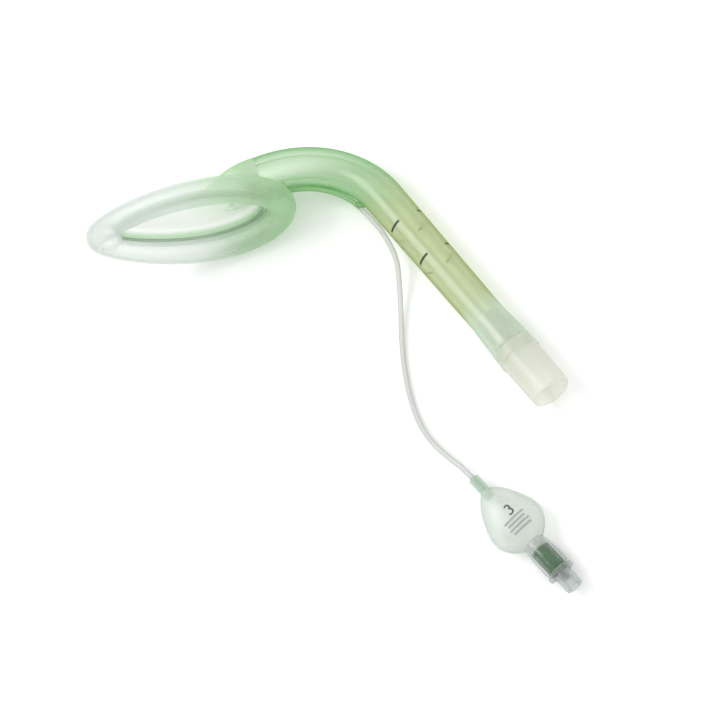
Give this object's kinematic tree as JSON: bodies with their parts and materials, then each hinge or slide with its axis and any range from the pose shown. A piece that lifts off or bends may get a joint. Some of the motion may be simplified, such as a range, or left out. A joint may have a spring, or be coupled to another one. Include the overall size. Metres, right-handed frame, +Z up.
{
  "type": "laryngeal mask airway",
  "caption": "Single-use laryngeal mask airway: bent tube, 15 mm connector, inflatable cuff round a bowl, inflation line, pilot balloon and check valve, lying on its side.",
  "frame": {"origin": "on the table under the middle of the airway's bounding box, the inflation line and what hangs on it left out", "axes": "+Z up from the table it lies on; +X from the mask's tip towards the bend; -Y towards the connector's end and the pilot balloon"},
  "size_m": [0.1794, 0.2064, 0.052],
  "materials": {
    "clear_green_pvc": "clear tinted flexible PVC, gloss",
    "milky_plastic": "milky translucent moulded polypropylene",
    "frosted_pvc": "frosted translucent green-tinted soft PVC",
    "frosted_film": "frosted translucent PVC film",
    "clear_line": "clear flexible PVC tubing",
    "pale_sleeve": "pale tinted translucent PVC",
    "balloon_film": "thin translucent PVC film",
    "clear_plastic": "clear moulded plastic",
    "green_plastic": "moulded green plastic",
    "dark_plastic": "moulded dark plastic",
    "seal_rubber": "moulded rubber ring",
    "spring_steel": "drawn steel wire"
  },
  "bodies": {
    "airway": {"airway_tube": "clear_green_pvc", "tube_connector": "milky_plastic", "mask_backplate": "frosted_pvc", "mask_cuff": "frosted_film", "inflation_line": "clear_line", "balloon_inlet_sleeve": "pale_sleeve", "pilot_balloon": "balloon_film", "valve_sleeve": "clear_plastic", "valve_core": "green_plastic", "valve_housing": "clear_plastic", "valve_spring": "spring_steel"},
    "plunger": {"valve_plunger": "dark_plastic", "valve_seal": "seal_rubber"}
  },
  "joints": [
    {"name": "plunger_slide", "type": "slide", "parent": "airway", "child": "plunger", "axis": [-0.5255, 0.8508, 0], "range_m": [0, 0.0015], "stiffness_N_per_m": 300, "springref_m": -0.001, "deforming": ["valve_spring"]}
  ]
}
